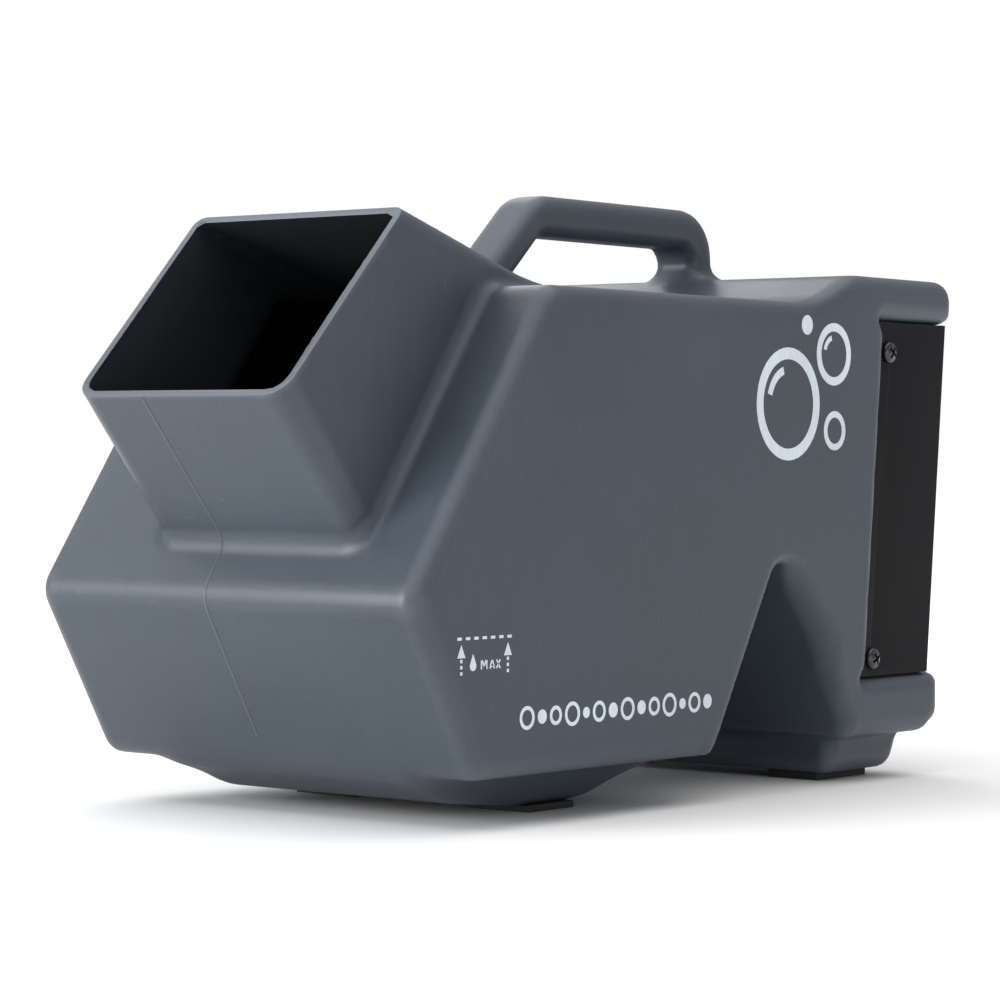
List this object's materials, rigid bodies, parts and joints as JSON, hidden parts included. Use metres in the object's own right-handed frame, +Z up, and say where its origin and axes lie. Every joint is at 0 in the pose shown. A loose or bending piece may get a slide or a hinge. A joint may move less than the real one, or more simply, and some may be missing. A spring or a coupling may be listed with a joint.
{
  "type": "bubble machine",
  "caption": "Portable bubble machine: one-piece moulded tank with an upward nozzle, carry handle, rear leg and steel rear cover over a wheel drive, fan and battery.",
  "frame": {"origin": "on the floor under the middle of the machine's box", "axes": "+X to one side, +Y from the nozzle towards the rear cover, +Z up; the nozzle points to -Y and up"},
  "size_m": [0.2, 0.417, 0.255],
  "materials": {
    "housing_plastic": "moulded, fine satin grain",
    "cover_paint": "satin black powder coat",
    "black_screw": "black oxide",
    "sheet_steel": "zinc plated",
    "screw_steel": "zinc plated",
    "shaft_steel": "ground",
    "bush_plastic": "natural acetal",
    "gear_plastic": "natural acetal",
    "wheel_plastic": "moulded satin",
    "gearbox_steel": "satin",
    "motor_can": "satin black",
    "fan_plastic": "moulded satin",
    "fan_blade_plastic": "moulded satin",
    "winding": "enamelled copper",
    "guard_wire": "bright",
    "battery_wrap": "shrink wrap",
    "circuit_board": "solder mask",
    "display_lens": "tinted, polished",
    "button_plastic": "moulded satin",
    "rocker_plastic": "polished",
    "switch_plastic": "moulded",
    "socket_plastic": "moulded",
    "foot_rubber": "moulded rubber"
  },
  "bodies": {
    "machine": {"housing": "housing_plastic", "rear_cover": "cover_paint", "cover_screws": "black_screw", "rear_plate": "sheet_steel", "rear_plate_screws": "screw_steel", "wheel_cradle": "sheet_steel", "cradle_screws": "screw_steel", "cradle_nuts": "screw_steel", "shaft_bushes": "bush_plastic", "gearbox": "gearbox_steel", "drive_motor": "motor_can", "motor_screws": "screw_steel", "fan_frame": "fan_plastic", "fan_stator": "winding", "fan_guard": "guard_wire", "fan_screws": "screw_steel", "fan_nuts": "screw_steel", "battery_pack": "battery_wrap", "battery_clamps": "sheet_steel", "clamp_screws": "screw_steel", "control_board": "circuit_board", "board_spacers": "shaft_steel", "board_screws": "black_screw", "display_window": "display_lens", "switch_body": "switch_plastic", "charge_socket": "socket_plastic", "charge_socket_nut": "screw_steel", "front_feet": "foot_rubber", "rear_feet": "foot_rubber", "rear_foot_screws": "screw_steel"},
    "wheel": {"bubble_wheel_left": "wheel_plastic", "bubble_wheel_right": "wheel_plastic", "wheel_shaft": "shaft_steel", "shaft_collars": "shaft_steel", "driven_gear": "gear_plastic"},
    "pinion": {"motor_pinion": "shaft_steel"},
    "fan": {"fan_impeller": "fan_blade_plastic"},
    "rocker": {"power_rocker": "rocker_plastic"},
    "menu_key": {"button_menu": "button_plastic"},
    "up_key": {"button_up": "button_plastic"},
    "down_key": {"button_down": "button_plastic"},
    "enter_key": {"button_enter": "button_plastic"}
  },
  "joints": [
    {"name": "wheel_spin", "type": "hinge", "parent": "machine", "child": "wheel", "pos_m": [0, -0.05002, 0.086], "axis": [1, 0, 0], "continuous": true},
    {"name": "pinion_spin", "type": "hinge", "parent": "machine", "child": "pinion", "pos_m": [0, -0.02102, 0.09952], "axis": [1, 0, 0], "continuous": true},
    {"name": "fan_spin", "type": "hinge", "parent": "machine", "child": "fan", "pos_m": [0.0111, 0.14462, 0.14499], "axis": [0, 0.9962, -0.0872], "continuous": true},
    {"name": "rocker_tilt", "type": "hinge", "parent": "machine", "child": "rocker", "pos_m": [-0.066, 0.19708, 0.11932], "axis": [0, 0.0872, 0.9962], "range_deg": [-16, 0]},
    {"name": "menu_key_press", "type": "slide", "parent": "machine", "child": "menu_key", "axis": [0, -0.9962, 0.0872], "range_m": [0, 0.001], "stiffness_N_per_m": 400},
    {"name": "up_key_press", "type": "slide", "parent": "machine", "child": "up_key", "axis": [0, -0.9962, 0.0872], "range_m": [0, 0.001], "stiffness_N_per_m": 400},
    {"name": "down_key_press", "type": "slide", "parent": "machine", "child": "down_key", "axis": [0, -0.9962, 0.0872], "range_m": [0, 0.001], "stiffness_N_per_m": 400},
    {"name": "enter_key_press", "type": "slide", "parent": "machine", "child": "enter_key", "axis": [0, -0.9962, 0.0872], "range_m": [0, 0.001], "stiffness_N_per_m": 400}
  ],
  "couplings": [
    {"joint": "pinion_spin", "follows": "wheel_spin", "ratio": -3}
  ]
}
